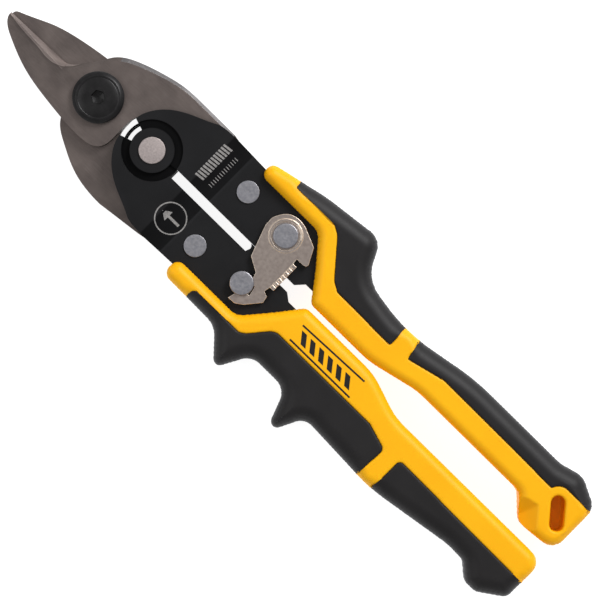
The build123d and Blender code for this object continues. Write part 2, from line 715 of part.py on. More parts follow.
os.makedirs("parts", exist_ok=True)
export_step(front_blade.part, "parts/front_blade.step")
export_step(back_blade.part, "parts/back_blade.step")
export_step(pivot_bolt.part, "parts/pivot_bolt.step")
export_step(pivot_washer.part, "parts/pivot_washer.step")
export_step(pivot_nut.part, "parts/pivot_nut.step")
export_step(upper_arm_front_plate.part, "parts/upper_arm_front_plate.step")
export_step(upper_arm_back_plate.part, "parts/upper_arm_back_plate.step")
export_step(lower_arm_front_plate.part, "parts/lower_arm_front_plate.step")
export_step(lower_arm_back_plate.part, "parts/lower_arm_back_plate.step")
export_step(upper_arm_spacer.part, "parts/upper_arm_spacer.step")
export_step(lower_arm_spacer.part, "parts/lower_arm_spacer.step")
export_step(centre_rivet.part, "parts/centre_rivet.step")
export_step(centre_bush.part, "parts/centre_bush.step")
export_step(upper_tang_rivet.part, "parts/upper_tang_rivet.step")
export_step(lower_tang_rivet.part, "parts/lower_tang_rivet.step")
export_step(opening_spring.part, "parts/opening_spring.step")
export_step(latch_plate.part, "parts/latch_plate.step")
export_step(latch_washer.part, "parts/latch_washer.step")
export_step(latch_rivet.part, "parts/latch_rivet.step")
export_step(latch_stud.part, "parts/latch_stud.step")
export_step(upper_grip.part, "parts/upper_grip.step")
export_step(upper_thumb_pad.part, "parts/upper_thumb_pad.step")
export_step(upper_rear_pad.part, "parts/upper_rear_pad.step")
export_step(lower_grip.part, "parts/lower_grip.step")
export_step(lower_finger_pad.part, "parts/lower_finger_pad.step")
export_step(lower_rear_pad.part, "parts/lower_rear_pad.step")
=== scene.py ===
"""Looks of a pair of compound-action aviation snips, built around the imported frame.

Metres, in the frame of the CAD model: +X from the jaw to the handle ends, +Y towards the upper
handle, +Z out of the front face. Sections follow the tool as it is put together.
"""
import json
from math import cos, hypot, pi, radians, sin

import bmesh
import bpy
import numpy as np
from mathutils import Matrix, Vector, kdtree


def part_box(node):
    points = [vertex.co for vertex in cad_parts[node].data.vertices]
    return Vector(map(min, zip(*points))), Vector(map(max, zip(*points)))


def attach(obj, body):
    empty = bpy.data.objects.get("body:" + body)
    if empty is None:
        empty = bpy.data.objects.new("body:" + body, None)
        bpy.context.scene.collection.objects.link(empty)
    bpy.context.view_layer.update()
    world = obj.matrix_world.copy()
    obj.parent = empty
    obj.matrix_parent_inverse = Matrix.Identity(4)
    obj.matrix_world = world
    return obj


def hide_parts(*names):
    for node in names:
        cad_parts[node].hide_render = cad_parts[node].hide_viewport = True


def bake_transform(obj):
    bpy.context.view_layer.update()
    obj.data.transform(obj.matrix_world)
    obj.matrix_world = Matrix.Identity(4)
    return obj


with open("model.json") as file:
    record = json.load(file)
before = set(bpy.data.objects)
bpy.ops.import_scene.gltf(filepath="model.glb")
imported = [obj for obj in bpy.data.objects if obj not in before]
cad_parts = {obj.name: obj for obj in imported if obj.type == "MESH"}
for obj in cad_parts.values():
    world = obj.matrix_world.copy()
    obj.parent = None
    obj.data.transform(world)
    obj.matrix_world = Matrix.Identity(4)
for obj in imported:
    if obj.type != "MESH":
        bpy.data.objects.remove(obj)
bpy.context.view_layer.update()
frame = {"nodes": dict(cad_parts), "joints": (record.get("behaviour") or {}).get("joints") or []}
mm = 0.001
joints = {joint["name"]: joint for joint in frame["joints"]}
bolt = Vector(joints["front_blade_pivot"]["pos_m"])
hinge = Vector(joints["handle_hinge"]["pos_m"])

# ---------------------------------------------------------------------------------------------
# The two blades: forged chrome-molybdenum steel, ground on their faces and tempered to a warm
# grey-brown. The grinding runs across the tool, and the back edge's bevel is ground last and
# is still bright.


def linear(hex_colour):
    """An sRGB hex colour as the linear RGBA that the shaders take."""
    channels = [int(hex_colour[i:i + 2], 16) / 255 for i in (1, 3, 5)]
    bright = [c / 12.92 if c <= 0.04045 else ((c + 0.055) / 1.055) ** 2.4 for c in channels]
    return (*bright, 1.0)


def add_node(tree, kind, settings=None, **inputs):
    """A node with its settings, and its inputs given as values or as sockets to link from.

    An input's name has underscores for spaces; in_0, in_1 stand for inputs by their place.
    """
    made = tree.nodes.new(kind)
    for name, value in (settings or {}).items():
        setattr(made, name, value)
    for name, value in inputs.items():
        placed = name.startswith("in_")
        socket = made.inputs[int(name[3:]) if placed else name.replace("_", " ")]
        if isinstance(value, bpy.types.NodeSocket):
            tree.links.new(value, socket)
        else:
            socket.default_value = value
    return made


def start_material(name, **shader_inputs):
    """A material with a Principled shader; returns it, its tree, the shader and its position."""
    made = bpy.data.materials.new(name)
    made.use_nodes = True
    tree = made.node_tree
    shader = tree.nodes["Principled BSDF"]
    for socket, value in shader_inputs.items():
        shader.inputs[socket.replace("_", " ")].default_value = value
    position = add_node(tree, "ShaderNodeTexCoord").outputs["Object"]
    return made, tree, shader, position


def mottle(tree, position, dark, light, size, detail=4.0, spread=(0.35, 0.65)):
    """A colour that wanders between two hex colours in patches of a size in metres."""
    patches = add_node(tree, "ShaderNodeTexNoise", Vector=position, Scale=1 / size, Detail=detail)
    ramp = add_node(tree, "ShaderNodeValToRGB", Fac=patches.outputs["Fac"])
    for stop, place, colour in zip(ramp.color_ramp.elements, spread, (dark, light)):
        stop.position = place
        stop.color = linear(colour)
    return ramp.outputs["Color"]


def streaks(tree, position, angle, pitch, stretch):
    """Noise drawn out into fine parallel scratches at an angle in plan, in degrees."""
    turned = add_node(tree, "ShaderNodeMapping", Vector=position, Rotation=(0, 0, radians(-angle)),
                      Scale=(1 / (pitch * stretch), 1 / pitch, 1 / pitch))
    return add_node(tree, "ShaderNodeTexNoise", Vector=turned.outputs["Vector"], Scale=1.0,
                    Detail=3.0, Roughness=0.6).outputs["Fac"]


def vary(tree, value, low, high):
    """A value from 0 to 1 brought between two limits."""
    return add_node(tree, "ShaderNodeMapRange", Value=value, To_Min=low, To_Max=high).outputs["Result"]


def dent(tree, shader, height, distance, strength=1.0):
    """Feed a height to the shader as bump."""
    bump = add_node(tree, "ShaderNodeBump", Height=height, Distance=distance, Strength=strength)
    tree.links.new(bump.outputs["Normal"], shader.inputs["Normal"])


def place_in(tree, position, axis, start, length):
    """How far along a run a point lies, 0 at its start and 1 at its end, in metres."""
    parts = add_node(tree, "ShaderNodeSeparateXYZ", Vector=position)
    return add_node(tree, "ShaderNodeMapRange", Value=parts.outputs[axis], From_Min=start,
                    From_Max=start + length).outputs["Result"]


def shades(tree, value, stops):
    """A grey that runs through (place, brightness) stops as a value goes from 0 to 1."""
    ramp = add_node(tree, "ShaderNodeValToRGB", Fac=value)
    while len(ramp.color_ramp.elements) < len(stops):
        ramp.color_ramp.elements.new(0.5)
    for stop, (place, grey) in zip(ramp.color_ramp.elements, stops):
        stop.position = place
        stop.color = (grey, grey, grey, 1)
    return ramp.outputs["Color"]


def times(tree, *colours):
    """Colours multiplied together."""
    product = colours[0]
    for colour in colours[1:]:
        product = add_node(tree, "ShaderNodeMix", {"data_type": "RGBA", "blend_type": "MULTIPLY"},
                           in_0=1.0, in_6=product, in_7=colour).outputs[2]
    return product


# Where the front jaw's ridge runs, from its tip to its throat, in millimetres from the bolt, the
# length and width that it is drawn over, and the greys from just under it to well above it: painted
# shade just under the ridge, a painted highlight along it, and a paler face above it, partly fresh
# grinding and partly painted light.
jaw_ridge = ((-40, -0.6), (-33, -1.5), (-26.3, -1.9), (-20.3, -2.4), (-17.3, -1.7), (-14.1, 0.6),
             (-12.2, 3.3))
ridge_length, ridge_width, ridge_blend = 40, 20, 0.25
ridge_painted_shade_and_highlight = [(0.0, 0.92), (0.38, 0.82), (0.485, 0.62), (0.505, 1.75), (0.53, 1.3), (0.66, 1.55),
               (0.8, 1.0)]


def jaw_painted_light(tree, position):
    """Grey factors for the front jaw: painted shade under a curved ridge, a painted highlight
    along it, and its hollow-ground face above, paler partly from grinding and partly painted light.
    """
    along = place_in(tree, position, "X", bolt.x - ridge_length * mm, ridge_length * mm)
    ridge = add_node(tree, "ShaderNodeFloatCurve", Value=along)
    line = ridge.mapping.curves[0]
    while len(line.points) < len(jaw_ridge):
        line.points.new(0.5, 0.5)
    for point, (x, y) in zip(line.points, jaw_ridge):
        point.location = ((x + ridge_length) / ridge_length, (y + ridge_width / 2) / ridge_width)
    ridge.mapping.update()
    across = place_in(tree, position, "Y", bolt.y - ridge_width / 2 * mm, ridge_width * mm)
    over = add_node(tree, "ShaderNodeMath", {"operation": "SUBTRACT"}, in_0=across,
                    in_1=ridge.outputs["Value"]).outputs["Value"]
    over = add_node(tree, "ShaderNodeMapRange", Value=over, From_Min=-ridge_blend,
                    From_Max=ridge_blend).outputs["Result"]
    painted_ridge_light = shades(tree, over, ridge_painted_shade_and_highlight)
    front = place_in(tree, position, "Z", bolt.z, 0.2 * mm)
    jaw = shades(tree, along, [(0.0, 1.0), (0.72, 1.0), (0.8, 0.0)])
    mask = times(tree, jaw, front)
    return add_node(tree, "ShaderNodeMix", {"data_type": "RGBA"}, in_0=mask, in_6=(1, 1, 1, 1),
                    in_7=painted_ridge_light).outputs[2]


# Ground and tempered steel: patchy brown-grey oxide, grinding lines 0.2 mm apart, drawn
# about twice as coarse as real so that they show.
blade_steel, tree, shader, position = start_material("ground_tempered_steel", Metallic=0.85)
lines = streaks(tree, position, 62, 0.2 * mm, 24)
oxide = mottle(tree, position, "#665d5a", "#766c68", 9 * mm)
line_greys = shades(tree, lines, [(0.3, 0.9), (0.7, 1.1)])
# The front jaw's painted shade and painted highlight along its ridge multiply into the colour.
tree.links.new(times(tree, oxide, jaw_painted_light(tree, position), line_greys),
               shader.inputs["Base Color"])
tree.links.new(vary(tree, lines, 0.36, 0.5), shader.inputs["Roughness"])
dent(tree, shader, lines, 0.02 * mm, 0.8)

# The same steel freshly ground, as on the bevels: paler, with finer lines.
bevel_steel, tree, shader, position = start_material("fresh_ground_steel", Metallic=1.0)
tree.links.new(mottle(tree, position, "#8e8b8c", "#a3a0a1", 4 * mm), shader.inputs["Base Color"])
fine_lines = streaks(tree, position, 130, 0.15 * mm, 20)
tree.links.new(vary(tree, fine_lines, 0.2, 0.34), shader.inputs["Roughness"])
dent(tree, shader, fine_lines, 0.01 * mm, 0.4)


def new_piece(name, vertices, faces, materials):
    """A mesh object at the origin with outward faces, smooth shading and its materials."""
    mesh = bpy.data.meshes.new(name)
    mesh.from_pydata([tuple(v) for v in vertices], [], [tuple(f) for f in faces])
    made = bpy.data.objects.new(name, mesh)
    bpy.context.scene.collection.objects.link(made)
    for material in materials:
        mesh.materials.append(material)
    mesh.shade_smooth()
    return made


def merged_copy(node, name, material):
    """A copy of a CAD node's mesh with its loose triangles merged and flat faces joined."""
    made = new_piece(name, [], [], [])
    net = bmesh.new()
    net.from_mesh(frame["nodes"][node].data)
    bmesh.ops.remove_doubles(net, verts=net.verts, dist=0.002 * mm)
    bmesh.ops.dissolve_limit(net, angle_limit=radians(0.6), verts=net.verts, edges=net.edges)
    net.to_mesh(made.data)
    net.free()
    made.data.materials.clear()
    made.data.materials.append(material)
    made.data.shade_smooth()
    return made


def ease_edges(piece, width, segments=3, angle=32):
    """Round a stamped or machined piece's edges, keeping its flat faces flat."""
    bevel = piece.modifiers.new("eased_edges", "BEVEL")
    bevel.width = width
    bevel.segments = segments
    bevel.limit_method = "ANGLE"
    bevel.angle_limit = radians(angle)
    bevel.miter_outer = "MITER_ARC"
    bevel.harden_normals = False
    flat = piece.modifiers.new("flat_faces", "WEIGHTED_NORMAL")
    flat.keep_sharp = True
    flat.weight = 80
    return piece


for node in ("front_blade", "back_blade"):
    blade = merged_copy(node, node + "_forging", blade_steel)
    blade.data.materials.append(bevel_steel)
    for face in blade.data.polygons:
        on_back_edge = abs(face.center.y - bolt.y) > 14 * mm
        if on_back_edge and 0.45 < abs(face.normal.z) < 0.9:
            face.material_index = 1
    ease_edges(blade, 0.14 * mm)
    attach(blade, node)
    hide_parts(node)

# ---------------------------------------------------------------------------------------------
# The main bolt, its washer and its locking nut: turned steel, the bolt with a pressed hexagon
# socket and black oxide, the washer and the nut zinc plated.

turned_segments = 96


def turned(name, centre, profile, material, body, node, slot):
    """A turned piece round an upright axis, from (radius, height, shape) in metres.

    A ring is round, or six-sided where its shape is "hex"; the first and last rings are capped.
    """
    vertices, faces = [], []
    for radius, height, shape in profile:
        for step in range(turned_segments):
            angle = 2 * pi * step / turned_segments
            reach = radius
            if shape == "hex":
                off_flat = (angle + pi / 6) % (pi / 3) - pi / 6
                reach = radius / cos(off_flat)
            vertices.append((centre.x + reach * cos(angle), centre.y + reach * sin(angle), height))
    for ring in range(len(profile) - 1):
        for step in range(turned_segments):
            after = (step + 1) % turned_segments
            low, high = ring * turned_segments, (ring + 1) * turned_segments
            faces.append((low + step, low + after, high + after, high + step))
    last = (len(profile) - 1) * turned_segments
    faces.append(list(reversed(range(turned_segments))))
    faces.append(list(range(last, last + turned_segments)))
    piece = new_piece(name, vertices, faces, [material])
    net = bmesh.new()
    net.from_mesh(piece.data)
    bmesh.ops.recalc_face_normals(net, faces=net.faces)
    net.to_mesh(piece.data)
    net.free()
    piece.data.set_sharp_from_angle(angle=radians(28))
    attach(piece, body)
    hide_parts(node)
    return piece


def eased_rim(radius, top, ease, steps=4, shape="round"):
    """Rings that round a disc's upper rim, from its side to its top face."""
    return [(radius - ease + ease * cos(t), top - ease + ease * sin(t), shape)
            for t in (pi / 2 * step / steps for step in range(steps + 1))]


# Black oxide on turned steel: nearly black, satin, with faint turning rings on the head.
black_oxide, tree, shader, position = start_material("black_oxide_steel", Metallic=0.5,
                                                     Specular_IOR_Level=0.5)
tree.links.new(mottle(tree, position, "#151415", "#201f20", 3 * mm), shader.inputs["Base Color"])
grain = add_node(tree, "ShaderNodeTexNoise", Vector=position, Scale=1 / (0.5 * mm), Detail=5.0)
tree.links.new(vary(tree, grain.outputs["Fac"], 0.3, 0.46), shader.inputs["Roughness"])
dent(tree, shader, grain.outputs["Fac"], 0.015 * mm, 0.6)

head_low, head_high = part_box("pivot_bolt")
head_top = head_high.z
head_r = (head_high.x - head_low.x) / 2
blade_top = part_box("front_blade")[1].z
shank_r = 4.5 * mm
socket_flat, socket_floor = 2.0 * mm, head_top - 2.2 * mm
bolt_profile = [(shank_r - 0.5 * mm, head_low.z, "round"), (shank_r, head_low.z + 0.5 * mm, "round"),
                (shank_r, blade_top, "round"), (head_r - 0.15 * mm, blade_top, "round"),
                (head_r, blade_top + 0.15 * mm, "round")]
bolt_profile += [(head_r, head_top - 1.0 * mm, "round"),
                 (head_r - 0.2 * mm, head_top - 0.75 * mm, "round"),
                 (head_r - 1.1 * mm, head_top - 0.1 * mm, "round"),
                 (head_r - 1.35 * mm, head_top, "round"),
                 (head_r - 1.75 * mm, head_top - 0.02 * mm, "round"),
                 (head_r - 1.95 * mm, head_top - 0.12 * mm, "round"),
                 (head_r - 2.15 * mm, head_top - 0.02 * mm, "round"),
                 (4.2 * mm, head_top, "round"), (3.3 * mm, head_top - 0.05 * mm, "round"),
                 (socket_flat + 0.12 * mm, head_top - 0.12 * mm, "hex"),
                 (socket_flat, head_top - 0.5 * mm, "hex"), (socket_flat, socket_floor, "hex"),
                 (0.6 * mm, socket_floor - 0.5 * mm, "round")]
turned("pivot_bolt_turned", bolt, bolt_profile, black_oxide, "front_blade", "pivot_bolt",
       "black_oxide_bolt")

# Bright zinc over turned steel: light grey with a faint blue, satin, with turning rings.
zinc, tree, shader, position = start_material("zinc_plated_steel", Metallic=1.0)
tree.links.new(mottle(tree, position, "#a3a6ac", "#bfc2c6", 1.5 * mm), shader.inputs["Base Color"])
grain = add_node(tree, "ShaderNodeTexNoise", Vector=position, Scale=1 / (0.4 * mm), Detail=4.0)
tree.links.new(vary(tree, grain.outputs["Fac"], 0.28, 0.42), shader.inputs["Roughness"])
dent(tree, shader, grain.outputs["Fac"], 0.01 * mm, 0.5)

washer_low, washer_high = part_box("pivot_washer")
washer_r = (washer_high.x - washer_low.x) / 2
washer_profile = [(shank_r, washer_high.z, "round"), (shank_r, washer_low.z, "round"),
                  (washer_r - 0.2 * mm, washer_low.z, "round"),
                  (washer_r, washer_low.z + 0.2 * mm, "round"),
                  (washer_r, washer_high.z - 0.1 * mm, "round"),
                  (washer_r - 0.1 * mm, washer_high.z, "round")]
turned("pivot_washer_stamped", bolt, washer_profile, zinc, "front_blade", "pivot_washer",
       "zinc_fastener")

nut_low, nut_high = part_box("pivot_nut")
nut_flat = (nut_high.y - nut_low.y) / 2
nut_profile = [(shank_r, nut_high.z, "round"), (nut_flat - 0.1 * mm, nut_high.z, "hex"),
               (nut_flat, nut_high.z - 0.1 * mm, "hex"), (nut_flat, nut_low.z + 0.6 * mm, "hex"),
               (nut_flat - 0.15 * mm, nut_low.z + 0.15 * mm, "round"),
               (nut_flat - 0.4 * mm, nut_low.z, "round"), (shank_r + 0.5 * mm, nut_low.z, "round"),
               (shank_r, nut_low.z + 0.4 * mm, "round")]
turned("pivot_nut_formed", bolt, nut_profile, zinc, "front_blade", "pivot_nut", "zinc_fastener")

# ---------------------------------------------------------------------------------------------
# The arms: two pairs of plates stamped from 2.2 mm steel and coated black, with packing plates
# between their tails. The coating is satin with a fine orange peel. Painted shade darkens the slopes
# down to the tangs and the recess round the hinge, with a painted highlight along the foot of each
# slope.

coated, tree, shader, position = start_material("black_coated_stamping")
ramp_start, ramp_length = 40.9 * mm, 8.4 * mm        # where the plates slope down to the tangs
recess_inner, recess_outer = 7.4, 10.1               # the recess round the hinge, in millimetres
radius_span = 20                                     # the greys round the hinge run this far
# Painted shade on the slope down to the tangs with a painted highlight along its foot, and painted shade
# in the recess round the hinge.
along = place_in(tree, position, "X", bolt.x + ramp_start - 2 * mm, ramp_length + 4 * mm)
ramp_painted_shade_and_highlight = shades(tree, along, [(0.12, 1.0), (0.165, 0.45), (0.83, 0.55), (0.86, 1.5), (0.93, 1.0)])
from_hinge = add_node(tree, "ShaderNodeVectorMath", {"operation": "SUBTRACT"}, in_0=position,
                      in_1=(hinge.x, hinge.y, 0)).outputs["Vector"]
flat = add_node(tree, "ShaderNodeVectorMath", {"operation": "MULTIPLY"}, in_0=from_hinge,
                in_1=(1 / (radius_span * mm), 1 / (radius_span * mm), 0)).outputs["Vector"]
radius = add_node(tree, "ShaderNodeVectorMath", {"operation": "LENGTH"}, in_0=flat).outputs["Value"]
ring_starts, ring_ends = recess_inner / radius_span, recess_outer / radius_span
recess_painted_shade = shades(tree, radius, [(ring_starts - 0.01, 1.0), (ring_starts, 0.3),
                                    (ring_ends - 0.005, 0.3), (ring_ends + 0.005, 1.0)])
coat = mottle(tree, position, "#101012", "#161618", 14 * mm)
arm_painted_light = times(tree, ramp_painted_shade_and_highlight, recess_painted_shade)
tree.links.new(times(tree, coat, arm_painted_light), shader.inputs["Base Color"])
# The same painted shade also lowers the specular level.
tree.links.new(vary(tree, arm_painted_light, 0.0, 0.22), shader.inputs["Specular IOR Level"])
peel = add_node(tree, "ShaderNodeTexNoise", Vector=position, Scale=1 / (0.45 * mm), Detail=3.0)
tree.links.new(vary(tree, peel.outputs["Fac"], 0.38, 0.52), shader.inputs["Roughness"])
dent(tree, shader, peel.outputs["Fac"], 0.02 * mm, 0.5)

for arm, body in (("upper_arm", "upper_handle"), ("lower_arm", "lower_handle")):
    for kind, width in (("front_plate", 0.22), ("back_plate", 0.22), ("spacer", 0.1)):
        node = f"{arm}_{kind}"
        plate = merged_copy(node, node + "_stamping", coated)
        ease_edges(plate, width * mm)
        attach(plate, body)
        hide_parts(node)

# ---------------------------------------------------------------------------------------------
# Marks on the arms: a plain ring with an arrow for the cutting direction on the lower arm, and
# a panel of slanted bars over a row of short ticks on the upper one, laser etched through the
# coating down to pale steel and drawn as inlays 0.03 mm proud.

# Laser-etched steel: pale grey, matt and a little uneven.
etched, tree, shader, position = start_material("laser_etched_steel", Metallic=0.4, Roughness=0.55)
tree.links.new(mottle(tree, position, "#7f7d7c", "#a5a2a0", 0.5 * mm), shader.inputs["Base Color"])

mark_proud, mark_deep = 0.03 * mm, 0.12 * mm
arm_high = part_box("upper_arm_front_plate")[1].z
arm_drop = 1.8 * mm


def arm_face(x):
    """Height of the arms' front face at a distance from the bolt along the tool."""
    return arm_high - arm_drop * min(1.0, max(0.0, (x - ramp_start) / ramp_length))


def inlay(name, rails, material, face_height, closed=False):
    """A thin strip between pairs of plan points in metres from the bolt, laid on a face."""
    vertices, faces = [], []
    for left, right in rails:
        for x, y in (left, right):
            top = face_height(x) + mark_proud
            vertices += [(bolt.x + x, bolt.y + y, top), (bolt.x + x, bolt.y + y, top - mark_deep)]
    count = len(rails)
    for number in range(count if closed else count - 1):
        here, there = 4 * number, 4 * ((number + 1) % count)
        for one, two in ((0, 2), (2, 3), (3, 1), (1, 0)):
            faces.append((here + one, here + two, there + two, there + one))
    if not closed:
        last = 4 * (count - 1)
        faces += [(0, 1, 3, 2), (last, last + 2, last + 3, last + 1)]
    made = new_piece(name, vertices, faces, [material])
    net = bmesh.new()
    net.from_mesh(made.data)
    bmesh.ops.recalc_face_normals(net, faces=net.faces)
    net.to_mesh(made.data)
    net.free()
    made.data.shade_flat()
    return made


def grown(piece, tree, **inputs):
    """Run a geometry tree on a piece, and keep the result as a plain mesh."""
    grow = piece.modifiers.new(tree.name, "NODES")
    grow.node_group = tree
    for item in tree.interface.items_tree:
        given_name = item.name.replace(" ", "_")
        if item.in_out == "INPUT" and given_name in inputs:
            grow[item.identifier] = inputs[given_name]
    depsgraph = bpy.context.evaluated_depsgraph_get()
    mesh = bpy.data.meshes.new_from_object(piece.evaluated_get(depsgraph))
    piece.modifiers.clear()
    piece.data = mesh
    return piece


row_tree = bpy.data.node_groups.new("row_of_marks", "GeometryNodeTree")
row_tree.interface.new_socket("Geometry", in_out="INPUT", socket_type="NodeSocketGeometry")
row_tree.interface.new_socket("Count", in_out="INPUT", socket_type="NodeSocketInt")
row_tree.interface.new_socket("Step", in_out="INPUT", socket_type="NodeSocketVector")
row_tree.interface.new_socket("Material", in_out="INPUT", socket_type="NodeSocketMaterial")
row_tree.interface.new_socket("Geometry", in_out="OUTPUT", socket_type="NodeSocketGeometry")
given = add_node(row_tree, "NodeGroupInput").outputs
row = add_node(row_tree, "GeometryNodeMeshLine", Count=given["Count"], Offset=given["Step"])
copies = add_node(row_tree, "GeometryNodeInstanceOnPoints", Points=row.outputs["Mesh"],
                  Instance=given["Geometry"])
real_marks = add_node(row_tree, "GeometryNodeRealizeInstances", Geometry=copies.outputs["Instances"])
painted_marks = add_node(row_tree, "GeometryNodeSetMaterial", Geometry=real_marks.outputs["Geometry"],
                         Material=given["Material"])
add_node(row_tree, "NodeGroupOutput", Geometry=painted_marks.outputs["Geometry"])

bar_low, bar_high, panel_start, panel_pitch, panel_bars = 39.9 * mm, 43.3 * mm, 4.3 * mm, 1.18 * mm, 12
bar_wide, bar_slant = 0.72 * mm, 0.4 * mm
stations = (bar_low, ramp_start, bar_high)
bar_edge = [(x, panel_start + bar_slant * (x - bar_low) / (bar_high - bar_low)) for x in stations]
bar = inlay("etched_panel", [((x, y), (x, y + bar_wide)) for x, y in bar_edge], etched, arm_face)
grown(bar, row_tree, Count=panel_bars, Step=(0, panel_pitch, 0), Material=etched)
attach(bar, "upper_handle")

tick_low, tick_high, tick_start, tick_end = 45.4 * mm, 46.9 * mm, 5.0 * mm, 5.25 * mm
tick_count, tick_pitch = 13, 1.0 * mm
tick = inlay("etched_ticks", [((x, tick_start), (x, tick_end)) for x in (tick_low, tick_high)],
             etched, arm_face)
grown(tick, row_tree, Count=tick_count, Step=(0, tick_pitch, 0), Material=etched)
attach(tick, "upper_handle")

ring_x, ring_y, ring_r, ring_wide = 44.4 * mm, -11.5 * mm, 5.4 * mm, 0.42 * mm
circle = [2 * pi * step / turned_segments for step in range(turned_segments)]
ring = [tuple((ring_x + reach * cos(t), ring_y + reach * sin(t)) for reach in (ring_r - ring_wide, ring_r))
        for t in circle]
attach(inlay("etched_ring", ring, etched, arm_face, closed=True), "lower_handle")
arrow = [(3.6, 0.45), (-0.9, 0.45), (-0.95, 1.9), (-3.7, 0.06)]     # place and half width, mm
arrow = [((ring_x + x * mm, ring_y - half * mm), (ring_x + x * mm, ring_y + half * mm))
         for x, half in arrow]
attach(inlay("etched_arrow", arrow, etched, arm_face), "lower_handle")

# ---------------------------------------------------------------------------------------------
# Rivets, the latch's stud and the washers: cold-headed steel, faced on a lathe, so their heads
# show fine turning rings. The hinge rivet is larger and only tumbled.

faced_rings = 0.7 * mm


def faced_head(radius, floor, top, ease, rings=True):
    """Rings of a low head from its underside to its middle, with turning marks on its face."""
    profile = [(radius, floor, "round")] + eased_rim(radius, top, ease)
    reach = radius - ease - faced_rings
    step = 0
    while rings and reach > faced_rings:
        profile.append((reach, top - (0.06 * mm if step % 2 == 0 else 0.0), "round"))
        reach -= faced_rings / 2
        step += 1
    profile.append((0.12 * mm, top - (0.06 * mm if rings else 0.0), "round"))
    return profile


# Rivet steel: cool grey, with a lathe-turned face; its rings are drawn coarser than real.
rivet_steel, tree, shader, position = start_material("turned_rivet_steel", Metallic=0.9)
tree.links.new(mottle(tree, position, "#8e8e95", "#a2a1a6", 0.9 * mm), shader.inputs["Base Color"])
grain = add_node(tree, "ShaderNodeTexNoise", Vector=position, Scale=1 / (0.35 * mm), Detail=4.0)
tree.links.new(vary(tree, grain.outputs["Fac"], 0.34, 0.5), shader.inputs["Roughness"])
dent(tree, shader, grain.outputs["Fac"], 0.02 * mm, 0.5)

# Tumbled rivet steel: warmer and paler, with a sandy face.
tumbled_steel, tree, shader, position = start_material("tumbled_rivet_steel", Metallic=0.85)
tree.links.new(mottle(tree, position, "#a59b99", "#b8adab", 0.6 * mm), shader.inputs["Base Color"])
grain = add_node(tree, "ShaderNodeTexNoise", Vector=position, Scale=1 / (0.4 * mm), Detail=6.0)
tree.links.new(vary(tree, grain.outputs["Fac"], 0.45, 0.62), shader.inputs["Roughness"])
dent(tree, shader, grain.outputs["Fac"], 0.05 * mm, 0.7)


def through_rivet(node, body, material, pin_r, ease=0.22 * mm, rings=True):
    """A rivet with a faced head at each end, sized by its CAD node."""
    low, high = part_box(node)
    centre = (low + high) / 2
    head_r = (high.x - low.x) / 2
    head = 0.6 * mm
    upper = faced_head(head_r, high.z - head, high.z, ease, rings)
    if node == "latch_rivet" or node == "latch_stud":
        upper = faced_head(head_r, high.z - 1.1 * mm, high.z, ease, rings)
    lower = [(radius, low.z + (high.z - height), shape)
             for radius, height, shape in faced_head(head_r, high.z - head, high.z, ease, rings)]
    profile = list(reversed(lower)) + [(pin_r, lower[0][1], "round"), (pin_r, upper[0][1], "round")]
    return turned(node + "_headed", centre, profile + upper, material, body, node, "rivet_steel")


through_rivet("centre_rivet", "lower_handle", tumbled_steel, 3.0 * mm, rings=False)
through_rivet("upper_tang_rivet", "upper_handle", rivet_steel, 2.6 * mm)
through_rivet("lower_tang_rivet", "lower_handle", rivet_steel, 2.6 * mm)
through_rivet("latch_rivet", "upper_handle", rivet_steel, 2.4 * mm, 0.45 * mm)
through_rivet("latch_stud", "lower_handle", rivet_steel, 1.35 * mm, 0.4 * mm)

for node, inner, body in (("latch_washer", 2.4, "upper_handle"), ("centre_bush", 3.0, "lower_handle")):
    low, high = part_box(node)
    outer = (high.x - low.x) / 2
    ring = [(inner * mm, high.z, "round"), (inner * mm, low.z, "round"),
            (outer - 0.1 * mm, low.z, "round"), (outer, low.z + 0.1 * mm, "round"),
            (outer, high.z - 0.1 * mm, "round"), (outer - 0.1 * mm, high.z, "round")]
    turned(node + "_turned", (low + high) / 2, ring, zinc, body, node, "zinc_fastener")

# ---------------------------------------------------------------------------------------------
# The opening spring: 1.4 mm music wire, three close turns round the bush, with a leg hooked
# into each arm.

wire_r, coil_r = 0.7 * mm, 5.6 * mm
leg_reach, leg_angle, leg_height = 15.0 * mm, 62.0, 1.5 * mm
turn_points = 48

spring_wire, tree, shader, position = start_material("drawn_spring_wire", Metallic=1.0)
tree.links.new(mottle(tree, position, "#5d5e63", "#7d7e84", 1.5 * mm), shader.inputs["Base Color"])
drawn = add_node(tree, "ShaderNodeTexNoise", Vector=position, Scale=1 / (0.6 * mm), Detail=3.0)
tree.links.new(vary(tree, drawn.outputs["Fac"], 0.25, 0.4), shader.inputs["Roughness"])


def on_ring(radius, angle, height):
    """A point round the handles' hinge, at a height over the sliding plane."""
    return (hinge.x + radius * cos(angle), hinge.y + radius * sin(angle), bolt.z + height)


first, last = radians(leg_angle), radians(360 * 3 - leg_angle)
path = [on_ring(leg_reach, first, -leg_height), on_ring(coil_r + 1.2 * mm, first, -leg_height)]
steps = int(turn_points * (last - first) / (2 * pi))
for step in range(steps + 1):
    along = step / steps
    path.append(on_ring(coil_r, first + (last - first) * along, -leg_height + 2 * leg_height * along))
path += [on_ring(coil_r + 1.2 * mm, last, leg_height), on_ring(leg_reach, last, leg_height)]

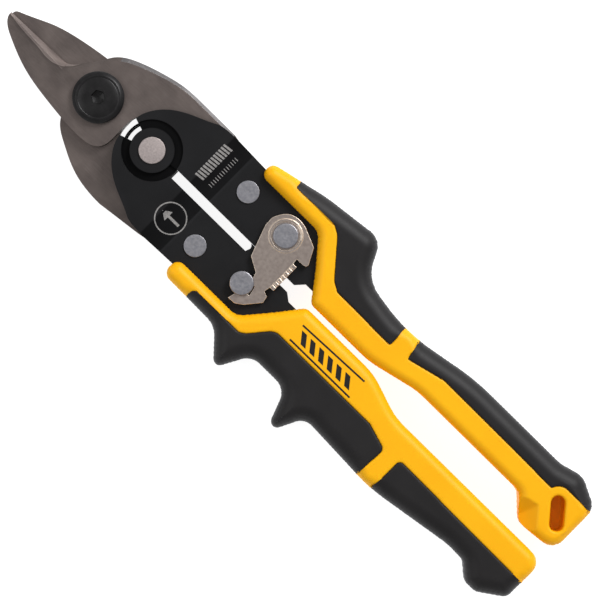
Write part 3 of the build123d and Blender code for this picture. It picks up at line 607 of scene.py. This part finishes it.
wire_tree = bpy.data.node_groups.new("wire_along_path", "GeometryNodeTree")
wire_tree.interface.new_socket("Geometry", in_out="INPUT", socket_type="NodeSocketGeometry")
wire_tree.interface.new_socket("Wire radius", in_out="INPUT", socket_type="NodeSocketFloat")
wire_tree.interface.new_socket("Material", in_out="INPUT", socket_type="NodeSocketMaterial")
wire_tree.interface.new_socket("Geometry", in_out="OUTPUT", socket_type="NodeSocketGeometry")
given = add_node(wire_tree, "NodeGroupInput").outputs
line = add_node(wire_tree, "GeometryNodeMeshToCurve", Mesh=given["Geometry"])
section = add_node(wire_tree, "GeometryNodeCurvePrimitiveCircle", Resolution=16,
                   Radius=given["Wire radius"])
drawn_wire = add_node(wire_tree, "GeometryNodeCurveToMesh", Curve=line.outputs["Curve"],
                      Profile_Curve=section.outputs["Curve"], Fill_Caps=True)
smooth_wire = add_node(wire_tree, "GeometryNodeSetShadeSmooth", Geometry=drawn_wire.outputs["Mesh"])
real_wire = add_node(wire_tree, "GeometryNodeRealizeInstances",
                     Geometry=smooth_wire.outputs["Geometry"])
painted_wire = add_node(wire_tree, "GeometryNodeSetMaterial", Geometry=real_wire.outputs["Geometry"],
                        Material=given["Material"])
add_node(wire_tree, "NodeGroupOutput", Geometry=painted_wire.outputs["Geometry"])


spring = new_piece("opening_spring_wound", path, [], [])
spring.data.edges.add(len(path) - 1)
for number, edge in enumerate(spring.data.edges):
    edge.vertices = (number, number + 1)
spring.data.update()
grown(spring, wire_tree, Wire_radius=wire_r, Material=spring_wire)
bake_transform(spring)
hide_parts("opening_spring")

# ---------------------------------------------------------------------------------------------
# The latch: a hook stamped from 1.6 mm steel with a coined rim round its rivet and a bent,
# serrated thumb tab, nickel plated over bronze. A painted highlight in pale cream lies along every
# edge and on the coined rim.

nickel, tree, shader, position = start_material("nickel_plated_stamping", Metallic=0.95)
tree.links.new(mottle(tree, position, "#a3968f", "#b4a79f", 1.2 * mm), shader.inputs["Base Color"])
tumbled = streaks(tree, position, 20, 0.3 * mm, 3)
tree.links.new(vary(tree, tumbled, 0.3, 0.46), shader.inputs["Roughness"])
dent(tree, shader, tumbled, 0.02 * mm, 0.6)

# Painted highlight for the rims and eased edges: a pale cream, satin.
nickel_painted_highlight, tree, shader, position = start_material("tumbled_bright_edges", Metallic=1.0)
tree.links.new(mottle(tree, position, "#dccbbb", "#f0e2d2", 1 * mm), shader.inputs["Base Color"])
edge_streaks = streaks(tree, position, 0, 0.3 * mm, 2)
tree.links.new(vary(tree, edge_streaks, 0.4, 0.5), shader.inputs["Roughness"])

latch = merged_copy("latch_plate", "latch_plate_stamping", nickel)
latch.data.materials.append(nickel_painted_highlight)
latch_centre = Vector(joints["latch_swing"]["pos_m"])
rim_inner, rim_outer, rim_floor = 4.3 * mm, 5.9 * mm, 1.5 * mm      # the coined rim's faces
# The coined rim's upper faces take the painted highlight.
for face in latch.data.polygons:
    from_centre = (face.center.xy - latch_centre.xy).length
    if rim_inner < from_centre < rim_outer and face.center.z > latch_centre.z + rim_floor:
        face.material_index = 1
ease_edges(latch, 0.42 * mm, 4)
# The eased edges take the painted highlight too.
latch.modifiers["eased_edges"].material = 1
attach(latch, "latch")
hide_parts("latch_plate")

# ---------------------------------------------------------------------------------------------
# The grips: a hard yellow core of glass-filled nylon moulded round each arm's tail, with soft
# black elastomer pads moulded over it. The long edges are rounded, wider on the soft pads,
# and a fine groove runs round each pad where the two mouldings meet.

section_height = 6.5 * mm       # over the middle plane: above the pockets and tongues
sample_step = 0.25 * mm
core_round, pad_round, recess_round = 3.2 * mm, 5.4 * mm, 0.8 * mm
skin = 0.8 * mm                 # what lies this near the outside follows the rounding
voxel = 0.42 * mm


def section_of(node):
    """Points along a CAD node's outline at the section height, with their outward normals."""
    net = frame["nodes"][node].data
    net.calc_loop_triangles()
    points = np.empty(len(net.vertices) * 3)
    net.vertices.foreach_get("co", points)
    points = points.reshape(-1, 3)
    corners = np.array([t.vertices[:] for t in net.loop_triangles])
    places, normals = [], []
    cut_at = bolt.z + section_height
    for triangle in points[corners]:
        above = triangle[:, 2] > cut_at
        if above.all() or not above.any():
            continue
        normal = np.cross(triangle[1] - triangle[0], triangle[2] - triangle[0])
        flat = hypot(normal[0], normal[1])
        if flat < 0.5 * np.linalg.norm(normal):
            continue
        ends = []
        for one, two in ((0, 1), (1, 2), (2, 0)):
            if above[one] != above[two]:
                share = (cut_at - triangle[one, 2]) / (triangle[two, 2] - triangle[one, 2])
                ends.append(triangle[one] + share * (triangle[two] - triangle[one]))
        length = np.linalg.norm(ends[1] - ends[0])
        count = max(1, int(length / sample_step))
        for step in range(count):
            places.append(ends[0] + (step + 0.5) / count * (ends[1] - ends[0]))
            normals.append(normal[:2] / flat)
    return np.array(places)[:, :2], np.array(normals)


def tree_of(places):
    """A search tree over points in plan."""
    found = kdtree.KDTree(len(places))
    for number, place in enumerate(places):
        found.insert((place[0], place[1], 0), number)
    found.balance()
    return found


def silhouette_of(core, pads, recess=None):
    """A grip's outer outline: places, outward normals and the edge radius wanted at each."""
    parts = {node: section_of(node) for node in (core, *pads)}
    trees = {node: tree_of(places) for node, (places, normals) in parts.items()}
    outline = []
    for node, (places, normals) in parts.items():
        for place, normal in zip(places, normals):
            shared = any(trees[other].find((place[0], place[1], 0))[2] < 0.35 * mm
                         for other in parts if other != node)
            if not shared:
                outline.append((place, normal, core_round if node == core else pad_round))
    places = np.array([row[0] for row in outline])
    normals = np.array([row[1] for row in outline])
    radii = np.array([row[2] for row in outline])
    in_recess = np.zeros(len(places), bool)
    if recess is not None:
        in_recess = np.hypot(*(places - recess[:2]).T) < recess_reach
        radii[in_recess] = recess_round
    finder = tree_of(places)
    smooth_radii, smooth_normals = np.empty(len(places)), np.empty((len(places), 2))
    for number, place in enumerate(places):
        near = finder.find_range((place[0], place[1], 0), 3.0 * mm)
        smooth_radii[number] = np.mean([radii[other] for _, other, _ in near
                                        if in_recess[other] == in_recess[number]])
        close = [normals[other] for _, other, away in near if away < 0.7 * mm]
        mean = np.mean(close, axis=0)
        smooth_normals[number] = mean / max(1e-9, np.linalg.norm(mean))
    return places, smooth_normals, smooth_radii, finder


def moulded(node, name, silhouette, material, half, flank=()):
    """A grip piece remeshed finely from its CAD solid, with its long edges rounded.

    Flank gives lines in plan, each a point and a direction; both faces slope down beyond them.
    """
    places, normals, radii, finder = silhouette
    raw = merged_copy(node, name, material)
    remesh = raw.modifiers.new("voxels", "REMESH")
    remesh.mode = "VOXEL"
    remesh.voxel_size = voxel
    relax = raw.modifiers.new("relax", "SMOOTH")
    relax.factor = 0.5
    relax.iterations = 4
    depsgraph = bpy.context.evaluated_depsgraph_get()
    mesh = bpy.data.meshes.new_from_object(raw.evaluated_get(depsgraph))
    raw.modifiers.clear()
    raw.data = mesh
    middle = bolt.z
    for vertex in mesh.vertices:
        x, y, z = vertex.co
        height = abs(z - middle)
        found, number, away = finder.find((x, y, 0))
        radius = radii[number]
        if away > radius or height < half - radius:
            continue
        u, v = radius - away, height - (half - radius)
        if max(u, v) < radius - skin and hypot(u, v) < radius:
            continue
        stretch = radius / hypot(u, v)
        inward = u - u * stretch
        if away > 0.5 * mm:
            direction = np.array((x, y)) - places[number]
            direction = direction / np.linalg.norm(direction)
        else:
            direction = -normals[number]
        side = 1 if z > middle else -1
        vertex.co = (x + inward * direction[0], y + inward * direction[1],
                     middle + side * (half - radius + v * stretch))
    for vertex in mesh.vertices:
        beyond = min([(vertex.co.xy - corner).dot(away) for corner, away in flank], default=0)
        if beyond > 0:
            height = min(abs(vertex.co.z - middle), half - flank_slope * beyond)
            vertex.co.z = middle + (height if vertex.co.z > middle else -height)
    mesh.materials.clear()
    mesh.materials.append(material)
    mesh.shade_smooth()
    return raw


# Glass-filled nylon, injection moulded in a spark-eroded tool: warm yellow, a very fine
# pebble grain, and a little light passes under its skin.
nylon, tree, shader, position = start_material("moulded_yellow_nylon", Specular_IOR_Level=0.22,
                                               Subsurface_Weight=0.08, Subsurface_Scale=1.5 * mm,
                                               Subsurface_Radius=(1.0, 0.45, 0.1))
tree.links.new(mottle(tree, position, "#fbb303", "#fdb908", 30 * mm), shader.inputs["Base Color"])
pebble = add_node(tree, "ShaderNodeTexNoise", Vector=position, Scale=1 / (0.35 * mm), Detail=3.0)
tree.links.new(vary(tree, pebble.outputs["Fac"], 0.4, 0.52), shader.inputs["Roughness"])
dent(tree, shader, pebble.outputs["Fac"], 0.02 * mm, 0.35)

# Thermoplastic elastomer: near black, soft and matt, with a dusty sheen at grazing angles.
elastomer, tree, shader, position = start_material("soft_black_elastomer", Specular_IOR_Level=0.3,
                                                   Sheen_Weight=0.12, Sheen_Roughness=0.4,
                                                   Sheen_Tint=linear("#b9bed0"))
tree.links.new(mottle(tree, position, "#161415", "#1b191a", 12 * mm), shader.inputs["Base Color"])
suede = add_node(tree, "ShaderNodeTexNoise", Vector=position, Scale=1 / (0.3 * mm), Detail=4.0)
tree.links.new(vary(tree, suede.outputs["Fac"], 0.46, 0.6), shader.inputs["Roughness"])
dent(tree, shader, suede.outputs["Fac"], 0.03 * mm, 0.5)

core_half = (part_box("upper_grip")[1].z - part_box("upper_grip")[0].z) / 2
pad_half = (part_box("upper_thumb_pad")[1].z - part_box("upper_thumb_pad")[0].z) / 2
recess_at, recess_reach = (bolt.x + 201.2 * mm, bolt.y + 8.3 * mm), 6.4 * mm
flank_slope = 0.85
knob_flank = [(Vector((bolt.x + 191.3 * mm, bolt.y + 5.4 * mm)), Vector((0.2, -1)).normalized()),
              (Vector((bolt.x + 197.9 * mm, bolt.y + 2.5 * mm)), Vector((-0.76, -0.65)).normalized())]

upper_line = silhouette_of("upper_grip", ("upper_thumb_pad", "upper_rear_pad"), recess_at)
lower_line = silhouette_of("lower_grip", ("lower_finger_pad", "lower_rear_pad"))
for node, line, material, half, body, slot in (
        ("upper_grip", upper_line, nylon, core_half, "upper_handle", "grip_core_plastic"),
        ("upper_thumb_pad", upper_line, elastomer, pad_half, "upper_handle", "grip_pad_rubber"),
        ("upper_rear_pad", upper_line, elastomer, pad_half, "upper_handle", "grip_pad_rubber"),
        ("lower_grip", lower_line, nylon, core_half, "lower_handle", "grip_core_plastic"),
        ("lower_finger_pad", lower_line, elastomer, pad_half, "lower_handle", "grip_pad_rubber"),
        ("lower_rear_pad", lower_line, elastomer, pad_half, "lower_handle", "grip_pad_rubber")):
    grip = moulded(node, node + "_moulding", line, material, half,
                   knob_flank if node == "upper_grip" else ())
    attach(grip, body)
    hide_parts(node)

# A printed panel on the lower grip: two black lines with slanted bars between them, in pad ink.
ink, tree, shader, position = start_material("black_pad_ink", Roughness=0.5, Specular_IOR_Level=0.3)
tree.links.new(mottle(tree, position, "#151313", "#1f1c1b", 2 * mm), shader.inputs["Base Color"])


def grip_face(x):
    """Height of the hard cores' front face."""
    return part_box("lower_grip")[1].z


half_line = 0.3                                     # in millimetres, like the rails
for name, rail in (("printed_upper_line", ((99.4, -6.1), (126.5, -5.1))),
                   ("printed_lower_line", ((99.6, -12.3), (126.7, -12.2)))):
    strip = [((x * mm, (y - half_line) * mm), (x * mm, (y + half_line) * mm)) for x, y in rail]
    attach(inlay(name, strip, ink, grip_face), "lower_handle")
bar = inlay("printed_bars", [((100.4 * mm, -7.4 * mm), (102.6 * mm, -7.4 * mm)),
                             ((103.2 * mm, -11.0 * mm), (105.4 * mm, -11.0 * mm))], ink, grip_face)
printed_count, printed_step = 6, (3.9 * mm, 0.06 * mm, 0)
grown(bar, row_tree, Count=printed_count, Step=printed_step, Material=ink)
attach(bar, "lower_handle")

# ---------------------------------------------------------------------------------------------
# The floor, soft studio light and the camera. The tool lies flat and is seen from straight
# above, turned so that its jaw points up and to the left.

# A white acrylic table, lit softly from below so that hardly any shadow falls on it.
floor_material, tree, shader, position = start_material("backlit_white_acrylic", Roughness=0.9,
                                                        Emission_Strength=0.9)
shader.inputs["Base Color"].default_value = linear("#a8a8a8")
shader.inputs["Emission Color"].default_value = linear("#ffffff")
half_floor = 2.0
floor = new_piece("floor", [(-half_floor, -half_floor, 0), (half_floor, -half_floor, 0),
                            (half_floor, half_floor, 0), (-half_floor, half_floor, 0)],
                  [(0, 1, 2, 3)], [floor_material])
floor.location.z = -0.0002

world = bpy.data.worlds.new("soft_studio")
world.use_nodes = True
bpy.context.scene.world = world
world.node_tree.nodes["Background"].inputs["Color"].default_value = linear("#ffffff")
world.node_tree.nodes["Background"].inputs["Strength"].default_value = 0.42

lean = 44.56                     # the tool's +X points this far below the picture's horizontal


def picture_direction(right, up):
    """A direction in the picture as one in the frame's XY plane."""
    tool_x = (cos(radians(lean)), -sin(radians(lean)))
    tool_y = (sin(radians(lean)), cos(radians(lean)))
    return Vector((right * tool_x[0] + up * tool_x[1], right * tool_y[0] + up * tool_y[1], 0))


def softbox(name, right, up, height, size, power):
    """A square area light over the tool, placed by picture directions in metres."""
    data = bpy.data.lights.new(name, "AREA")
    data.size = size
    data.energy = power
    made = bpy.data.objects.new(name, data)
    bpy.context.scene.collection.objects.link(made)
    made.location = picture_direction(right, up) + Vector((0, 0, height))
    made.rotation_euler = (-made.location).to_track_quat("-Z", "Y").to_euler()


softbox("key_softbox", 0.7, 0.75, 0.9, 0.5, 15)
softbox("fill_softbox", -0.8, 0.1, 1.0, 0.8, 3)

aim = Vector((8.6 * mm, 2.0 * mm, 17 * mm))
shown_width, camera_height = 194.8 * mm, 1.2
camera_data = bpy.data.cameras.new("camera")
camera_data.sensor_width = 36
camera_data.lens = 36 * camera_height / shown_width
camera = bpy.data.objects.new("camera", camera_data)
bpy.context.scene.collection.objects.link(camera)
camera.location = aim + Vector((0, 0, camera_height))
camera.rotation_euler = (0, 0, radians(lean))
bpy.context.scene.camera = camera
bpy.context.scene.view_settings.view_transform = "Standard"
